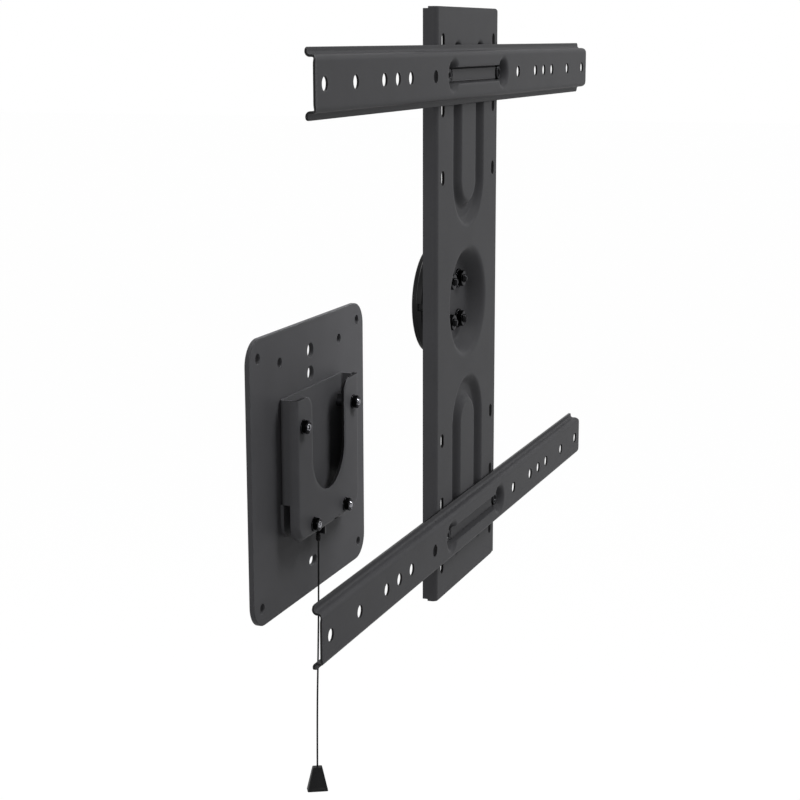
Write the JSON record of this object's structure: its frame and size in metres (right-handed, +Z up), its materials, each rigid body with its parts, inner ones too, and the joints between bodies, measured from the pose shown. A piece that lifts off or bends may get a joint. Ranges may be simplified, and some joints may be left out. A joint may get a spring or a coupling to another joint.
{
  "type": "rotating television wall mount",
  "caption": "Wall plate with a slotted socket and latch cord, and a column with two drilled arms on a round rotor that hooks into it and turns.",
  "frame": {"origin": "centre of the wall plate's back face", "axes": "+X right along the arms, +Y into the wall, +Z up"},
  "size_m": [0.629, 0.1483, 0.6519],
  "materials": {
    "powder_coated_steel": "fine-textured dark grey powder coat on folded sheet steel",
    "black_zinc_fasteners": "glossy black zinc-plated steel",
    "zinc_sleeves": "plain zinc-plated steel tube",
    "black_rotor_steel": "smooth black painted steel disc",
    "black_nylon": "moulded black nylon",
    "latch_steel": "turned zinc-plated steel",
    "spring_wire": "bright spring steel wire",
    "black_cord": "thin braided black cord",
    "black_moulded_plastic": "moulded black plastic"
  },
  "bodies": {
    "wall_half": {"wall_plate": "powder_coated_steel", "socket_channel": "powder_coated_steel", "socket_front": "powder_coated_steel", "socket_stud_1": "black_zinc_fasteners", "socket_stud_2": "black_zinc_fasteners", "socket_stud_3": "black_zinc_fasteners", "socket_stud_4": "black_zinc_fasteners", "spacer_sleeve_1": "zinc_sleeves", "spacer_sleeve_2": "zinc_sleeves", "spacer_sleeve_3": "zinc_sleeves", "spacer_sleeve_4": "zinc_sleeves", "socket_washer_1": "black_zinc_fasteners", "socket_washer_2": "black_zinc_fasteners", "socket_washer_3": "black_zinc_fasteners", "socket_washer_4": "black_zinc_fasteners", "socket_nut_1": "black_zinc_fasteners", "socket_nut_2": "black_zinc_fasteners", "socket_nut_3": "black_zinc_fasteners", "socket_nut_4": "black_zinc_fasteners", "latch_guide": "black_nylon", "guide_screw_1": "black_zinc_fasteners", "guide_screw_2": "black_zinc_fasteners", "latch_spring": "spring_wire"},
    "latch": {"latch_pin": "latch_steel", "latch_clip": "latch_steel", "cord_knot": "black_cord", "pull_cord": "black_cord", "cord_pull": "black_moulded_plastic"},
    "tv_half": {"column": "powder_coated_steel", "upper_arm": "powder_coated_steel", "lower_arm": "powder_coated_steel", "arm_bolt_1": "black_zinc_fasteners", "arm_bolt_2": "black_zinc_fasteners", "arm_bolt_3": "black_zinc_fasteners", "arm_bolt_4": "black_zinc_fasteners", "arm_washer_1": "black_zinc_fasteners", "arm_washer_2": "black_zinc_fasteners", "arm_washer_3": "black_zinc_fasteners", "arm_washer_4": "black_zinc_fasteners", "arm_nut_1": "black_zinc_fasteners", "arm_nut_2": "black_zinc_fasteners", "arm_nut_3": "black_zinc_fasteners", "arm_nut_4": "black_zinc_fasteners", "hub_neck": "powder_coated_steel", "rotor_disc": "black_rotor_steel", "rotor_glide": "black_nylon", "hub_bolt_1": "black_zinc_fasteners", "hub_bolt_2": "black_zinc_fasteners", "hub_bolt_3": "black_zinc_fasteners", "hub_bolt_4": "black_zinc_fasteners", "hub_washer_1": "black_zinc_fasteners", "hub_washer_2": "black_zinc_fasteners", "hub_washer_3": "black_zinc_fasteners", "hub_washer_4": "black_zinc_fasteners", "hub_nut_1": "black_zinc_fasteners", "hub_nut_2": "black_zinc_fasteners", "hub_nut_3": "black_zinc_fasteners", "hub_nut_4": "black_zinc_fasteners"}
  },
  "joints": [
    {"name": "swivel", "type": "hinge", "parent": "wall_half", "child": "tv_half", "pos_m": [0, -0.1179, 0.1377], "axis": [0, 1, 0], "continuous": true},
    {"name": "latch_slide", "type": "slide", "parent": "wall_half", "child": "latch", "axis": [0, 0, 1], "range_m": [-0.0055, 0], "stiffness_N_per_m": 500, "springref_m": 0.004, "deforming": ["latch_spring"]}
  ]
}
